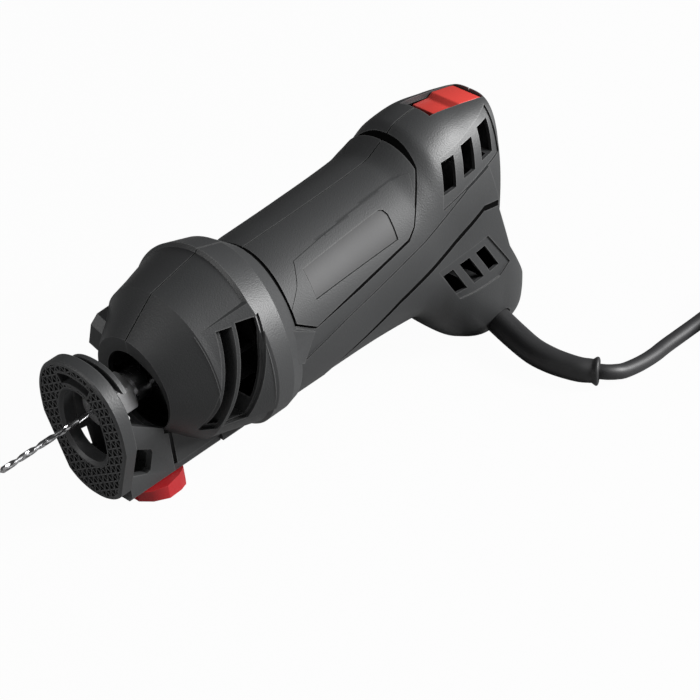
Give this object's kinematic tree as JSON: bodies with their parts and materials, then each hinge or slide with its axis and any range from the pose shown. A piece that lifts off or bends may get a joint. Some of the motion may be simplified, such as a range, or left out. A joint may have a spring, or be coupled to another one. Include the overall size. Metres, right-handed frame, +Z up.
{
  "type": "drywall cut out tool",
  "caption": "Hand held spiral saw for cutting openings in drywall, with a foot plate on a sliding depth guide, collet, shaft lock, slide switch and mains cord.",
  "frame": {"origin": "middle of the tool's box at the floor it rests on, without the cord", "axes": "+X from the bit towards the tail, +Y to the tool's right, +Z up; the spindle dips towards the bit by about 10 degrees"},
  "size_m": [0.5172, 0.2452, 0.1421],
  "materials": {
    "shell_plastic": "fine grain, dark charcoal",
    "soft_grip": "soft, matte",
    "label": "bare plate, satin",
    "red_plastic": "red, semi gloss",
    "black_plastic": "black",
    "steel": "machined",
    "nut_chrome": "polished plate",
    "laminated_iron": "stacked sheets",
    "copper": "enamelled copper",
    "brass": "plain",
    "carbon": "pressed carbon",
    "cord_rubber": "black, satin"
  },
  "bodies": {
    "housing": {"left_housing": "shell_plastic", "right_housing": "shell_plastic", "left_grip": "soft_grip", "right_grip": "soft_grip", "label_plate": "label", "housing_screws": "steel", "front_bearing": "steel", "rear_bearing": "steel", "stator_core": "laminated_iron", "field_coils": "copper", "brush_carrier": "black_plastic", "brush_holders": "brass", "carbon_brushes": "carbon", "brush_springs": "steel", "switch_body": "black_plastic", "cord_clamp": "black_plastic", "clamp_screws": "steel", "clamp_bolt": "steel", "lock_spring": "steel", "strain_relief": "cord_rubber", "cord_run": "cord_rubber", "cord_coil": "cord_rubber", "coil_tie": "cord_rubber", "plug_body": "cord_rubber", "plug_blades": "brass"},
    "spindle": {"spindle_shaft": "steel", "armature_core": "laminated_iron", "armature_windings": "copper", "commutator": "copper", "fan": "black_plastic", "collet": "steel", "collet_nut": "nut_chrome", "spiral_bit": "steel"},
    "switch": {"switch_slider": "red_plastic", "switch_link": "black_plastic"},
    "shaft_lock": {"lock_button": "black_plastic", "lock_pin": "steel"},
    "depth_guide": {"foot_plate": "shell_plastic", "guide_rail": "shell_plastic"},
    "lever": {"lock_lever": "red_plastic"}
  },
  "joints": [
    {"name": "spindle_spin", "type": "hinge", "parent": "housing", "child": "spindle", "pos_m": [-0.05536, 0, 0.06228], "axis": [0.9854, 0, 0.1701], "continuous": true},
    {"name": "switch_slide", "type": "slide", "parent": "housing", "child": "switch", "axis": [-0.9997, 0, 0.0263], "range_m": [0, 0.006]},
    {"name": "shaft_lock_press", "type": "slide", "parent": "housing", "child": "shaft_lock", "axis": [0.0582, -0.9397, -0.337], "range_m": [0, 0.004], "stiffness_N_per_m": 300, "springref_m": -0.003},
    {"name": "depth_slide", "type": "slide", "parent": "housing", "child": "depth_guide", "axis": [-0.9854, 0, -0.1701], "range_m": [0, 0.02]},
    {"name": "lever_turn", "type": "hinge", "parent": "housing", "child": "lever", "pos_m": [-0.07394, 0, 0.00529], "axis": [-0.1701, 0, 0.9854], "range_deg": [0, 90]}
  ]
}
